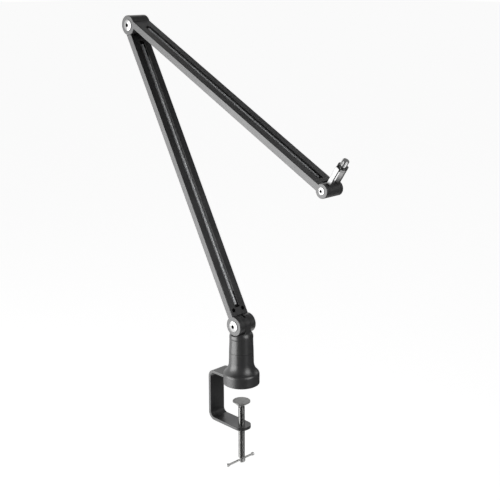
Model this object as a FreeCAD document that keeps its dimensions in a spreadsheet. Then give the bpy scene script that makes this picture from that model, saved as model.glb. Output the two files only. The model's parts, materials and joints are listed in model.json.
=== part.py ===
import FreeCAD, Part
import Sketcher
import math
import os
from types import SimpleNamespace

# Microphone boom arm: a desk clamp, a swivel head, two slotted arms with springs and a yoke with a stud.
# Lengths are in millimetres and angles in degrees. The origin lies under the base on the desk, on the
# swivel axis. X is the reach of the arms, Z is up and every arm pivot runs along Y.

SIZES = dict(
    # layout of the pivots
    shoulder_height=93.0,
    lower_angle=119.0,
    upper_drop=27.0,
    lower_reach=480.0,
    upper_reach=438.0,
    lower_rise=5.5,
    upper_rise=6.5,
    yoke_angle=57.5,
    # arm channels
    arm_width=32.0,
    arm_depth=10.0,
    arm_wall=1.3,
    arm_round=0.8,
    slot_width=9.5,
    shoulder_fork_length=28.0,
    elbow_tongue_length=29.0,
    elbow_fork_length=26.0,
    end_fork_length=21.5,
    prong_length=22.0,
    prong_inner=5.0,
    notch_length=2.4,
    # hubs
    hub_radius=14.6,
    hub_gap=0.6,
    knuckle_width=10.4,
    pocket_width=11.2,
    pocket_gap=0.9,
    tongue_radius=10.5,
    tongue_gap=0.4,
    mouth_start=6.0,
    mouth_span=212.0,
    end_hub_radius=10.0,
    end_pocket_radius=10.45,
    end_pocket_width=22.6,
    end_notch_width=12.0,
    end_notch_length=12.2,
    # pivot bolts and their sleeve nuts
    bolt_head_radius=8.1,
    bolt_head_height=3.6,
    bolt_head_dome=0.8,
    bolt_radius=4.0,
    bolt_socket_radius=2.4,
    bolt_socket_depth=2.4,
    sleeve_radius=5.4,
    sleeve_length=7.0,
    seat_depth=2.0,
    seat_radius=8.4,
    tilt_head_radius=5.0,
    tilt_head_height=2.6,
    tilt_head_dome=0.6,
    tilt_bolt_radius=2.5,
    tilt_socket_radius=1.8,
    tilt_socket_depth=1.6,
    tilt_sleeve_radius=3.5,
    tilt_sleeve_length=2.4,
    tilt_seat_depth=1.4,
    tilt_seat_radius=5.3,
    bush_radius=4.9,
    washer_radius=9.0,
    washer_thickness=0.3,
    tilt_washer_radius=6.0,
    tilt_washer_thickness=0.3,
    # spring linkage
    spring_radius=3.65,
    spring_wire=1.2,
    spring_inset=2.0,
    spring_lift=0.9,
    plug_length=11.0,
    rod_radius=1.2,
    eye_radius=3.0,
    eye_thickness=3.0,
    link_slot_width=3.6,
    link_fan_start=170.0,
    link_fan_span=150.0,
    link_slot_start=9.0,
    link_pin_radius=1.5,
    shoulder_pin_reach=8.6,
    elbow_pin_back=4.0,
    anchor_pin_length=18.0,
    anchor_depth=7.0,
    end_anchor_depth=4.6,
    tunnel_width=7.4,
    # screws in the arms
    set_screw_radius=3.1,
    set_screw_length=3.0,
    set_screw_sink=2.4,
    set_screw_hex=1.7,
    set_screw_reach=22.4,
    set_screw_offset=9.0,
    channel_screw_head=2.7,
    channel_screw_radius=1.5,
    channel_screw_length=4.6,
    channel_screw_hex=1.1,
    channel_screw_hex_depth=0.8,
    channel_screw_reach=12.0,
    channel_screw_offset=9.7,
    # microphone mount
    drum_radius=9.95,
    drum_width=21.8,
    yoke_width=19.0,
    yoke_thickness=2.5,
    yoke_soft=0.5,
    yoke_leg_width=6.6,
    yoke_reach=40.5,
    yoke_eye_radius=5.4,
    yoke_bend=3.2,
    yoke_boss_radius=7.0,
    stud_radius=4.7625,
    stud_shank=4.0,
    stud_tip=50.0,
    stud_chamfer=0.8,
    stud_nut_radius=7.0,
    stud_nut_height=4.0,
    stud_tail=1.5,
    # base
    rim_height=0.4,
    skirt_radius=27.3,
    skirt_height=14.2,
    skirt_round=6.0,
    neck_radius=18.7,
    flare_height=34.2,
    seam_height=50.0,
    seam_radius=18.4,
    seam_gap=0.4,
    shoulder_radius=17.6,
    shoulder_start=71.0,
    crown_radius=14.6,
    crown_height=82.0,
    crown_round=12.0,
    knuckle_root=68.0,
    foot_radius=24.6,
    foot_recess=25.0,
    bush_bore=7.0,
    shaft_radius=5.0,
    shaft_top=66.0,
    shaft_thread=4.0,
    shaft_tail=11.0,
    nut_pocket_radius=8.8,
    nut_pocket_top=21.0,
    swivel_nut_radius=7.5,
    swivel_nut_height=6.5,
    swivel_washer_radius=8.2,
    swivel_washer_thickness=1.5,
    lower_bush_length=8.0,
    upper_bush_length=10.0,
    flange_radius=14.0,
    flange_thickness=1.0,
    base_screw_radius=2.0,
    base_screw_head=4.0,
    base_screw_head_height=2.4,
    base_screw_length=12.0,
    base_screw_hex=1.5,
    base_screw_hex_depth=1.5,
    base_screw_x=13.5,
    base_screw_y=8.5,
    # clamp
    strip_width=28.3,
    strip_thickness=4.6,
    strip_soft=0.6,
    tongue_height=9.2,
    tongue_front=19.0,
    bracket_back=53.5,
    bracket_bend=12.0,
    throat_floor=68.9,
    spindle_radius=4.95,
    spindle_tip=2.2,
    pad_top=30.0,
    pad_radius=13.4,
    pad_rim=1.2,
    pad_root=38.4,
    pad_neck=39.5,
    pad_neck_radius=3.7,
    pad_roof=2.4,
    boss_top=122.8,
    boss_bottom=132.2,
    boss_radius=5.6,
    boss_chamfer=1.4,
    bar_height=127.5,
    bar_radius=1.8,
    bar_near=29.0,
    bar_far=23.0,
    ball_radius=3.1,
    ball_bite=1.2,
    # clearances
    run_gap=0.05,
    seat_gap=0.02,
    body_gap=0.3,
    prong_gap=0.2,
    cut_over=3.0,
)

# shares and counts
SPRING_TURNS = 48
QUARTER_SHARES = 4
HALF_SHARE = 0.5
HEX_SIDES = 6
QUARTER_TURN = 90
HALF_TURN = 180
FULL_TURN = 360
LEAST_SPRING_GAP_SHARE = 0.34

doc = FreeCAD.newDocument("boom_arm")
sheet = doc.addObject("Spreadsheet::Sheet", "Sizes")
for row, (alias, number) in enumerate(SIZES.items(), start=1):
    cell = f"B{row}"
    sheet.set(f"A{row}", alias)
    sheet.set(cell, str(number))
    sheet.setAlias(cell, alias)
doc.recompute()


class Size:
    """A length that knows its number and the sheet expression it comes from."""

    def __init__(self, number, text):
        self.number = float(number)
        self.text = text

    def __add__(self, other):
        other = as_size(other)
        return Size(self.number + other.number, f"({self.text} + {other.text})")

    def __radd__(self, other):
        return as_size(other) + self

    def __sub__(self, other):
        other = as_size(other)
        return Size(self.number - other.number, f"({self.text} - {other.text})")

    def __rsub__(self, other):
        return as_size(other) - self

    def __mul__(self, other):
        other = as_size(other)
        return Size(self.number * other.number, f"({self.text} * {other.text})")

    def __rmul__(self, other):
        return as_size(other) * self

    def __truediv__(self, other):
        other = as_size(other)
        return Size(self.number / other.number, f"({self.text} / {other.text})")

    def __neg__(self):
        return Size(-self.number, f"(0 - {self.text})")


def as_size(value):
    return value if isinstance(value, Size) else Size(value, repr(value))


def sine(angle):
    return Size(math.sin(math.radians(angle.number)), f"sin({angle.text})")


def cosine(angle):
    return Size(math.cos(math.radians(angle.number)), f"cos({angle.text})")


d = SimpleNamespace(**{alias: Size(sheet.get(alias), f"Sizes.{alias}") for alias in SIZES})
zero = Size(0, "0")
finished = []


def bind(item, **values):
    for prop, value in values.items():
        item.setExpression(prop, as_size(value).text)
    return item


def place(item, x=zero, y=zero, z=zero, yaw=zero, pitch=zero, roll=zero):
    base = "; ".join(as_size(value).text for value in (x, y, z))
    turn = "; ".join(as_size(value).text for value in (yaw, pitch, roll))
    item.setExpression("Placement", f"placement(vector({base}); rotation({turn}))")
    return item


def make(kind):
    return doc.addObject(kind, kind.split("::")[1].lower())


def box(x, y, z):
    item = make("Part::Box")
    bind(item, Length=x[1] - x[0], Width=y[1] - y[0], Height=z[1] - z[0])
    return place(item, x[0], y[0], z[0])


AXIS_TURNS = dict(x=(0, QUARTER_TURN, 0), y=(0, 0, -QUARTER_TURN), z=(0, 0, 0))


def rod(axis, radius, start, end, x=zero, y=zero, z=zero):
    item = make("Part::Cylinder")
    bind(item, Radius=radius, Height=end - start)
    spot = dict(x=x, y=y, z=z)
    spot[axis] = start
    yaw, pitch, roll = AXIS_TURNS[axis]
    return place(item, spot["x"], spot["y"], spot["z"], yaw, pitch, roll)


def hexagon(axis, radius, start, end, x=zero, y=zero, z=zero):
    item = make("Part::Prism")
    item.Polygon = HEX_SIDES
    bind(item, Circumradius=radius, Height=end - start)
    spot = dict(x=x, y=y, z=z)
    spot[axis] = start
    yaw, pitch, roll = AXIS_TURNS[axis]
    return place(item, spot["x"], spot["y"], spot["z"], yaw, pitch, roll)


def ball(radius, x=zero, y=zero, z=zero):
    item = make("Part::Sphere")
    bind(item, Radius=radius)
    return place(item, x, y, z)


def fuse(*items):
    if len(items) == 1:
        return items[0]
    item = make("Part::MultiFuse")
    item.Shapes = list(items)
    item.Refine = True
    return item


def cut(base, *tools):
    item = make("Part::Cut")
    item.Base = base
    item.Tool = fuse(*tools)
    item.Refine = True
    return item


def group(*items):
    item = make("Part::Compound")
    item.Links = list(items)
    return item


def tube(axis, outer, inner, start, end, x=zero, y=zero, z=zero):
    bore = rod(axis, inner, start - d.cut_over, end + d.cut_over, x, y, z)
    return cut(rod(axis, outer, start, end, x, y, z), bore)


def finish(label, item, frame=None):
    item.Label = label
    if frame is not None:
        place(item, **frame)
    finished.append(item)
    return item


def outline(body, role, points):
    """A closed sketch: each point is (across, up) or (across, up, radius, turn) for an arc to the next."""
    sketch = body.newObject("Sketcher::SketchObject", "outline")
    plane = [item for item in body.Origin.OriginFeatures if item.Role == role][0]
    sketch.AttachmentSupport = [(plane, "")]
    sketch.MapMode = "FlatFace"
    spots = [FreeCAD.Vector(as_size(p[0]).number, as_size(p[1]).number, 0) for p in points]
    ends = []
    for index, point in enumerate(points):
        here = spots[index]
        there = spots[(index + 1) % len(points)]
        if len(point) == 2:
            ends.append((sketch.addGeometry(Part.LineSegment(here, there)), 1, 2))
            continue
        radius = as_size(point[2])
        chord = there - here
        side = FreeCAD.Vector(-chord.y, chord.x, 0).normalize() * point[3]
        reach = math.sqrt(max(radius.number ** 2 - (chord.Length * HALF_SHARE) ** 2, 0.0))
        centre = (here + there) * HALF_SHARE + side * reach
        first = math.atan2(here.y - centre.y, here.x - centre.x)
        last = math.atan2(there.y - centre.y, there.x - centre.x)
        circle = Part.Circle(centre, FreeCAD.Vector(0, 0, 1), radius.number)
        if point[3] > 0:
            arc = sketch.addGeometry(Part.ArcOfCircle(circle, first, last))
            ends.append((arc, 1, 2))
        else:
            arc = sketch.addGeometry(Part.ArcOfCircle(circle, last, first))
            ends.append((arc, 2, 1))
        bound = sketch.addConstraint(Sketcher.Constraint("Radius", arc, radius.number))
        sketch.setExpression(f"Constraints[{bound}]", radius.text)
    for index, (geometry, first, last) in enumerate(ends):
        following = ends[(index + 1) % len(ends)]
        sketch.addConstraint(Sketcher.Constraint("Coincident", geometry, last, following[0], following[1]))
        for kind, value in zip(("DistanceX", "DistanceY"), points[index][:2]):
            value = as_size(value)
            bound = sketch.addConstraint(Sketcher.Constraint(kind, -1, 1, geometry, first, value.number))
            if value.text != "0":
                sketch.setExpression(f"Constraints[{bound}]", value.text)
    return sketch


def revolved(points):
    body = doc.addObject("PartDesign::Body", "turned")
    sketch = outline(body, "XZ_Plane", points)
    turn = body.newObject("PartDesign::Revolution", "turn")
    turn.Profile = sketch
    turn.ReferenceAxis = (sketch, ["V_Axis"])
    turn.Angle = FULL_TURN
    body.Tip = turn
    return body


def extruded(role, points, length, symmetric=False, soften=None):
    body = doc.addObject("PartDesign::Body", "drawn")
    sketch = outline(body, role, points)
    pad = body.newObject("PartDesign::Pad", "pad")
    pad.Profile = sketch
    bind(pad, Length=length)
    if symmetric:
        pad.SideType = "Symmetric"
    body.Tip = pad
    if soften is not None:
        doc.recompute()
        edges = body.newObject("PartDesign::Fillet", "soft_edges")
        edges.Base = (pad, [f"Edge{index}" for index in range(1, len(pad.Shape.Edges) + 1)])
        edges.UseAllEdges = True
        bind(edges, Radius=soften)
        body.Tip = edges
    return body


# frames of the two arms: x runs along the arm from its lower pivot, z points out of the slotted face

elbow_x = d.lower_reach * cosine(d.lower_angle) + d.lower_rise * sine(d.lower_angle)
elbow_z = d.shoulder_height + d.lower_reach * sine(d.lower_angle) - d.lower_rise * cosine(d.lower_angle)


def lower_frame(along=zero):
    return dict(
        x=along * cosine(d.lower_angle),
        z=d.shoulder_height + along * sine(d.lower_angle),
        pitch=-d.lower_angle,
        roll=as_size(HALF_TURN),
    )


def upper_frame(along=zero, out=zero):
    return dict(
        x=elbow_x + along * cosine(d.upper_drop) + out * sine(d.upper_drop),
        z=elbow_z - along * sine(d.upper_drop) + out * cosine(d.upper_drop),
        pitch=d.upper_drop,
    )


def mount_frame():
    spot = upper_frame(d.upper_reach, d.upper_rise)
    return dict(x=spot["x"], z=spot["z"], pitch=-d.yoke_angle)


half_width = d.arm_width / 2
half_depth = d.arm_depth / 2
half_inner = half_depth - d.arm_wall
prong_side = half_width - d.arm_wall - d.prong_gap
prong_face = half_inner - d.prong_gap
half_pocket = d.pocket_width / 2
half_knuckle = d.knuckle_width / 2
half_link = d.link_slot_width / 2
half_slot = d.slot_width / 2
half_tunnel = d.tunnel_width / 2
over = d.cut_over
lower_end = d.lower_reach - d.elbow_tongue_length
upper_end = d.upper_reach - d.end_fork_length


# pieces that both arms share

def rounded_sides():
    """The outside of an arm's section, from the right of its slotted face round to the left of it."""
    corner = half_width - d.arm_round
    edge = half_depth - d.arm_round
    return [
        (corner, half_depth, d.arm_round, -1),
        (half_width, edge),
        (half_width, -edge, d.arm_round, -1),
        (corner, -half_depth),
        (-corner, -half_depth, d.arm_round, -1),
        (-half_width, -edge),
        (-half_width, edge, d.arm_round, -1),
        (-corner, half_depth),
    ]


def rounded_bar(start, end, centre=zero):
    return place(extruded("YZ_Plane", rounded_sides(), end - start), start, zero, centre)


def rounded_hub(radius, spot=zero, level=zero):
    corner = half_width - d.arm_round
    edge = radius - d.arm_round
    profile = [
        (zero, -half_width),
        (edge, -half_width, d.arm_round, 1),
        (radius, -corner),
        (radius, corner, d.arm_round, 1),
        (edge, half_width),
        (zero, half_width),
    ]
    return place(revolved(profile), spot, zero, level, roll=as_size(-QUARTER_TURN))


def channel(label, start, end, frame):
    inner = half_width - d.arm_wall
    profile = [
        (half_slot, half_depth),
        *rounded_sides(),
        (-half_slot, half_depth),
        (-half_slot, half_inner),
        (-inner, half_inner),
        (-inner, -half_inner),
        (inner, -half_inner),
        (inner, half_inner),
        (half_slot, half_inner),
    ]
    drawn = place(extruded("YZ_Plane", profile, end - start), start)
    # two webs close the groove behind the slot, clear of the prongs at both ends
    span = (start + d.prong_length + d.body_gap, end - d.prong_length - d.body_gap)
    rise = half_inner + d.arm_wall * HALF_SHARE
    web_back = half_slot + d.arm_wall
    near_web = box(span, (half_slot, web_back), (-rise, rise))
    far_web = box(span, (-web_back, -half_slot), (-rise, rise))
    drawn = fuse(drawn, near_web, far_web)
    holes = []
    for spot in (start + d.channel_screw_reach, end - d.channel_screw_reach):
        for side in (d.channel_screw_offset, -d.channel_screw_offset):
            size = d.channel_screw_head + d.run_gap
            holes.append(rod("z", size, -half_depth - over, zero, spot, side))
    return finish(label, cut(drawn, *holes), frame)


def channel_screws(label, start, end, centre, frame):
    screws = []
    for spot in (start + d.channel_screw_reach, end - d.channel_screw_reach):
        for side in (d.channel_screw_offset, -d.channel_screw_offset):
            back = centre - half_depth
            seat = centre - prong_face
            head = rod("z", d.channel_screw_head, back, seat, spot, side)
            shank = rod("z", d.channel_screw_radius, back, seat + d.channel_screw_length, spot, side)
            drive_top = back + d.channel_screw_hex_depth
            drive = hexagon("z", d.channel_screw_hex, back - over, drive_top, spot, side)
            screws.append(cut(fuse(head, shank), drive))
    return finish(label, group(*screws), frame)


def prongs(start, end, centre):
    span = (centre - prong_face, centre + prong_face)
    near = box((start, end), (d.prong_inner, prong_side), span)
    far = box((start, end), (-prong_side, -d.prong_inner), span)
    return [near, far]


def prong_holes(spot, centre):
    size = d.channel_screw_radius + d.seat_gap
    tip = centre - prong_face + d.channel_screw_length + d.body_gap
    foot = centre - half_depth
    sides = (d.channel_screw_offset, -d.channel_screw_offset)
    return [rod("z", size, foot, tip, spot, side) for side in sides]


def bolt_holes(spot, height, near_side):
    """The bolt's bore through both cheeks, a seat each side and the sleeve's bore on the far side."""
    outer = half_width + over
    floor = half_width - d.seat_depth
    bore = rod("y", d.bolt_radius + d.run_gap, -outer, outer, spot, z=height)
    seats = [
        rod("y", d.seat_radius, floor, outer, spot, z=height),
        rod("y", d.seat_radius, -outer, -floor, spot, z=height),
    ]
    size = d.sleeve_radius + d.run_gap
    foot = floor - d.sleeve_length - d.body_gap
    if near_side > 0:
        sleeve = rod("y", size, -outer, -foot, spot, z=height)
    else:
        sleeve = rod("y", size, foot, outer, spot, z=height)
    return [bore, sleeve] + seats


def seated(side, floor, spot, level, profile):
    """A turned piece on a seat in the arm's side, its head pointing away from the arm."""
    return place(revolved(profile), spot, floor * side, level, roll=as_size(-QUARTER_TURN) * side)


def hex_socket(radius, top, depth, side, spot, level):
    if side > 0:
        return hexagon("y", radius, top - depth, top + over, spot, z=level)
    return hexagon("y", radius, -top - over, depth - top, spot, z=level)


def button_bolt(label, head, shank, side, floor, spot, level, frame):
    crown = (head.radius * head.radius + head.dome * head.dome) / (head.dome * 2)
    profile = [
        (zero, -shank.length),
        (shank.radius, -shank.length),
        (shank.radius, zero),
        (head.radius, zero),
        (head.radius, head.height - head.dome, crown, 1),
        (zero, head.height),
    ]
    socket = hex_socket(head.socket, floor + head.height, head.socket_depth, side, spot, level)
    return finish(label, cut(seated(side, floor, spot, level, profile), socket), frame)


def sleeve_nut(label, head, sleeve, side, floor, spot, level, frame):
    crown = (head.radius * head.radius + head.dome * head.dome) / (head.dome * 2)
    profile = [
        (sleeve.bore, -sleeve.length),
        (sleeve.radius, -sleeve.length),
        (sleeve.radius, zero),
        (head.radius, zero),
        (head.radius, head.height - head.dome, crown, 1),
        (zero, head.height),
        (zero, zero),
        (sleeve.bore, zero),
    ]
    depth = head.socket_depth * HALF_SHARE
    socket = hex_socket(head.socket, floor + head.height, depth, side, spot, level)
    return finish(label, cut(seated(side, floor, spot, level, profile), socket), frame)


def pivot_fasteners(name, side, frame):
    floor = half_width - d.seat_depth
    head = SimpleNamespace(
        radius=d.bolt_head_radius, height=d.bolt_head_height, dome=d.bolt_head_dome,
        socket=d.bolt_socket_radius, socket_depth=d.bolt_socket_depth,
    )
    shank = SimpleNamespace(radius=d.bolt_radius, length=floor * 2 - d.body_gap)
    sleeve = SimpleNamespace(
        radius=d.sleeve_radius, length=d.sleeve_length, bore=d.bolt_radius + d.seat_gap
    )
    button_bolt(f"{name}_bolt", head, shank, side, floor, zero, zero, frame)
    sleeve_nut(f"{name}_nut", head, sleeve, -side, floor, zero, zero, frame)
    inner = d.bolt_radius + d.prong_gap
    gap_floor = half_knuckle + d.run_gap
    washers(f"{name}_washers", d.washer_radius, inner, gap_floor, d.washer_thickness, zero, zero, frame)


def washers(label, outer, inner, gap_floor, thickness, spot, level, frame):
    near = tube("y", outer, inner, gap_floor, gap_floor + thickness, spot, z=level)
    far = tube("y", outer, inner, -gap_floor - thickness, -gap_floor, spot, z=level)
    return finish(label, group(near, far), frame)


def bushes(label, spot, level, frame):
    inner = d.bolt_radius + d.run_gap
    near = tube("y", d.bush_radius, inner, half_link, half_knuckle, spot, z=level)
    far = tube("y", d.bush_radius, inner, -half_knuckle, -half_link, spot, z=level)
    return finish(label, group(near, far), frame)


def link_rod(label, eye_spot, plug_end, direction, level, frame):
    """An eye on a cross pin, a thin rod and a plug that holds the end of the spring."""
    half_eye = d.eye_thickness / 2
    eye = rod("y", d.eye_radius, -half_eye, half_eye, eye_spot, z=level)
    plug_size = d.spring_radius - d.spring_wire - d.run_gap
    plug_level = level + d.spring_lift
    if direction > 0:
        plug_start = plug_end - d.plug_length
        stem = rod("x", d.rod_radius, eye_spot, plug_end, z=level)
        plug = rod("x", plug_size, plug_start, plug_end, z=plug_level)
    else:
        plug_start = plug_end + d.plug_length
        stem = rod("x", d.rod_radius, plug_end, eye_spot, z=level)
        plug = rod("x", plug_size, plug_end, plug_start, z=plug_level)
    hole = rod("y", d.link_pin_radius + d.run_gap, -half_eye - over, half_eye + over, eye_spot, z=level)
    return finish(label, cut(fuse(eye, stem, plug), hole), frame)


def cross_pin(label, length, spot, level, frame):
    return finish(label, group(rod("y", d.link_pin_radius, -length / 2, length / 2, spot, z=level)), frame)


# springs: one unbroken tube along the slot of each arm, wound on arcs of a quarter turn

def arc_between(start, tangent, reach, end):
    knee = start + tangent * reach
    middle = (start + end) * HALF_SHARE
    narrow = (end - start).Length * HALF_SHARE / reach
    return Part.Arc(start, middle + (knee - middle) * (narrow / (1 + narrow)), end).toShape()


def coil_point(index, start, pitch, radius, level):
    angle = index * 2 * math.pi / QUARTER_SHARES
    spot = FreeCAD.Vector(
        start + pitch * index / QUARTER_SHARES, radius * math.sin(angle), level + radius * math.cos(angle)
    )
    around = 2 * math.pi * radius
    tangent = FreeCAD.Vector(pitch, around * math.cos(angle), -around * math.sin(angle))
    return spot, tangent.normalize()


def spring_shape(start, end, level):
    wire = d.spring_wire.number
    radius = d.spring_radius.number - wire * HALF_SHARE
    pitch = (end - start) / SPRING_TURNS
    knots = [coil_point(i, start, pitch, radius, level) for i in range(SPRING_TURNS * QUARTER_SHARES + 1)]
    first, first_way = knots[0]
    last, last_way = knots[-1]
    edges = [Part.LineSegment(first - first_way * wire, first).toShape()]
    for (here, way), (there, next_way) in zip(knots, knots[1:]):
        chord = there - here
        both = way + next_way
        spread = 2 * (1 - way.dot(next_way))
        lean = chord.dot(both)
        reach = (math.sqrt(lean * lean + spread * chord.dot(chord)) - lean) / spread
        joint = (here + there + (way - next_way) * reach) * HALF_SHARE
        edges.append(arc_between(here, way, reach, joint))
        knee = there - next_way * reach
        edges.append(arc_between(joint, (knee - joint).normalize(), reach, there))
    edges.append(Part.LineSegment(last, last + last_way * wire).toShape())
    path = Part.Wire(edges)
    ring = Part.Circle(first - first_way * wire, first_way, wire * HALF_SHARE).toShape()
    shell = Part.BRepOffsetAPI.MakePipeShell(path)
    shell.add(Part.Wire([ring]))
    shell.build()
    shell.makeSolid()
    spots = [spot for spot, way in knots]
    apart = min((b - a).Length for a, b in zip(spots, spots[QUARTER_SHARES:]))
    print("spring: least gap between turns", round(apart - wire, 3))
    if apart - wire < wire * LEAST_SPRING_GAP_SHARE:
        raise ValueError("spring turns too close")
    return shell.shape()


def spring(label, start, end, level, frame):
    item = doc.addObject("Part::Feature", "spring")
    item.Shape = spring_shape(start.number, end.number, level.number)
    return finish(label, item, frame)


# clamp bracket: a flat strip with two bends, its upper tongue inside the bell

def clamp_bracket():
    bend = d.bracket_bend
    inner_bend = bend - d.strip_thickness
    top = d.tongue_height
    under = top - d.strip_thickness
    back = -d.bracket_back - d.strip_thickness
    face = -d.bracket_back
    floor = -d.throat_floor
    sole = floor - d.strip_thickness
    half_strip = d.strip_width / 2
    side = [
        (d.tongue_front, under),
        (d.tongue_front, top),
        (back + bend, top, bend, 1),
        (back, top - bend),
        (back, sole + bend, bend, 1),
        (back + bend, sole),
        (half_strip, sole),
        (half_strip, floor),
        (face + inner_bend, floor, inner_bend, -1),
        (face, floor + inner_bend),
        (face, under - inner_bend, inner_bend, -1),
        (face + inner_bend, under),
    ]
    strip = extruded("XZ_Plane", side, d.strip_width, symmetric=True, soften=d.strip_soft)
    corner = cut(
        box(
            (zero, half_strip + over),
            (-half_strip - over, half_strip + over),
            (sole - over, floor + over),
        ),
        rod("z", half_strip, sole - over - over, floor + over + over),
    )
    thread = rod("z", d.spindle_radius + d.run_gap, sole - over, floor + over)
    holes = []
    for x in (d.base_screw_x, -d.base_screw_x):
        for y in (d.base_screw_y, -d.base_screw_y):
            seat = under + d.base_screw_head_height
            holes.append(rod("z", d.base_screw_radius + d.run_gap, under - over, top + over, x, y))
            holes.append(rod("z", d.base_screw_head + d.run_gap, under - over, seat, x, y))
    return finish("clamp_bracket", cut(strip, corner, thread, *holes))


def base_screws():
    under = d.tongue_height - d.strip_thickness
    screws = []
    for x in (d.base_screw_x, -d.base_screw_x):
        for y in (d.base_screw_y, -d.base_screw_y):
            head = rod("z", d.base_screw_head, under, under + d.base_screw_head_height, x, y)
            shank = rod("z", d.base_screw_radius, under, under + d.base_screw_length, x, y)
            drive_top = under + d.base_screw_hex_depth
            drive = hexagon("z", d.base_screw_hex, under - over, drive_top, x, y)
            screws.append(cut(fuse(head, shank), drive))
    return finish("base_screws", group(*screws))


def base_bell():
    shift = d.neck_radius - d.skirt_radius + d.skirt_round
    climb = d.flare_height - d.skirt_height
    flare = (shift * shift + climb * climb - d.skirt_round * d.skirt_round) / ((d.skirt_round - shift) * 2)
    share = d.skirt_round / (d.skirt_round + flare)
    turn_x = d.skirt_radius - d.skirt_round + (shift + flare) * share
    turn_z = d.skirt_height + climb * share
    ledge = d.tongue_height - d.strip_thickness
    profile = [
        (d.foot_recess, d.rim_height),
        (d.skirt_radius, d.rim_height),
        (d.skirt_radius, d.skirt_height, d.skirt_round, 1),
        (turn_x, turn_z, flare, -1),
        (d.neck_radius, d.flare_height),
        (d.seam_radius, d.seam_height),
        (d.bush_bore, d.seam_height),
        (d.bush_bore, d.nut_pocket_top),
        (d.nut_pocket_radius, d.nut_pocket_top),
        (d.nut_pocket_radius, ledge),
        (d.foot_recess, ledge),
    ]
    bell = revolved(profile)
    half_strip = d.strip_width / 2 + d.prong_gap
    slot = box(
        (-d.skirt_radius - over, d.tongue_front + d.prong_gap),
        (-half_strip, half_strip),
        (ledge - d.prong_gap, d.tongue_height),
    )
    holes = []
    for x in (d.base_screw_x, -d.base_screw_x):
        for y in (d.base_screw_y, -d.base_screw_y):
            tip = ledge + d.base_screw_length + d.body_gap
            holes.append(rod("z", d.base_screw_radius + d.seat_gap, ledge, tip, x, y))
    return finish("base_bell", cut(bell, slot, *holes))


def foot_pad():
    top = d.tongue_height - d.strip_thickness - d.prong_gap
    return finish("foot_pad", rod("z", d.foot_radius, zero, top))


def swivel_bushes():
    inner = d.shaft_radius + d.run_gap
    outer = d.bush_bore - d.seat_gap
    lower_top = d.nut_pocket_top + d.lower_bush_length
    finish("swivel_bush_lower", tube("z", outer, inner, d.nut_pocket_top, lower_top))
    sleeve = rod("z", outer, d.seam_height - d.upper_bush_length, d.seam_height)
    flange = rod("z", d.flange_radius, d.seam_height, d.seam_height + d.flange_thickness)
    top = d.seam_height + d.flange_thickness + over
    bore = rod("z", inner, d.seam_height - d.upper_bush_length - over, top)
    finish("swivel_bush_upper", cut(fuse(sleeve, flange), bore))


def swivel_head():
    floor = d.seam_height + d.seam_gap
    profile = [
        (zero, floor),
        (d.seam_radius, floor),
        (d.shoulder_radius, d.shoulder_start, d.crown_round, 1),
        (d.crown_radius, d.crown_height),
        (zero, d.crown_height),
    ]
    neck = revolved(profile)
    wide = d.shoulder_radius + over
    clear = d.hub_radius + d.hub_gap
    sides = [
        rod("y", clear, half_knuckle, wide, z=d.shoulder_height),
        rod("y", clear, -wide, -half_knuckle, z=d.shoulder_height),
    ]
    web = box(
        (-d.hub_radius, d.hub_radius), (-half_knuckle, half_knuckle), (d.knuckle_root, d.shoulder_height)
    )
    disc = rod("y", d.hub_radius, -half_knuckle, half_knuckle, z=d.shoulder_height)
    body = fuse(cut(neck, *sides), web, disc)
    recess = rod("z", d.flange_radius + d.body_gap, floor - over, floor + d.flange_thickness)
    bore = rod("z", d.shaft_radius + d.seat_gap, floor - over, d.shaft_top + d.body_gap)
    wide_bore = half_knuckle + over
    pivot = rod("y", d.bush_radius + d.seat_gap, -wide_bore, wide_bore, z=d.shoulder_height)
    pin_x = d.shoulder_pin_reach * cosine(d.lower_angle)
    pin_z = d.shoulder_height + d.shoulder_pin_reach * sine(d.lower_angle)
    pin = rod("y", d.link_pin_radius + d.seat_gap, -wide_bore, wide_bore, pin_x, z=pin_z)
    # the eye turns on its pin, and its rod sweeps a fan that opens upwards
    eye_room = rod("y", d.eye_radius + d.body_gap, -half_link, half_link, pin_x, z=pin_z)
    fan = rod("y", d.hub_radius * 2, -half_link, half_link)
    bind(fan, Angle=d.link_fan_span)
    place(fan, pin_x, -half_link, pin_z, zero, -d.link_fan_start, as_size(-QUARTER_TURN))
    return finish("swivel_head", cut(body, recess, bore, pivot, pin, eye_room, fan))


def swivel_core():
    step = d.nut_pocket_top - d.body_gap
    shaft = fuse(
        rod("z", d.shaft_radius, step, d.shaft_top),
        rod("z", d.shaft_thread, d.shaft_tail, step),
    )
    finish("swivel_shaft", shaft)
    inner = d.shaft_thread + d.seat_gap
    low = step - d.swivel_washer_thickness
    finish("swivel_washer", tube("z", d.swivel_washer_radius, inner, low, step))
    nut = hexagon("z", d.swivel_nut_radius, low - d.swivel_nut_height, low)
    hole = rod("z", inner, low - d.swivel_nut_height - over, low + over)
    finish("swivel_nut", cut(nut, hole))


# lower arm

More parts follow.
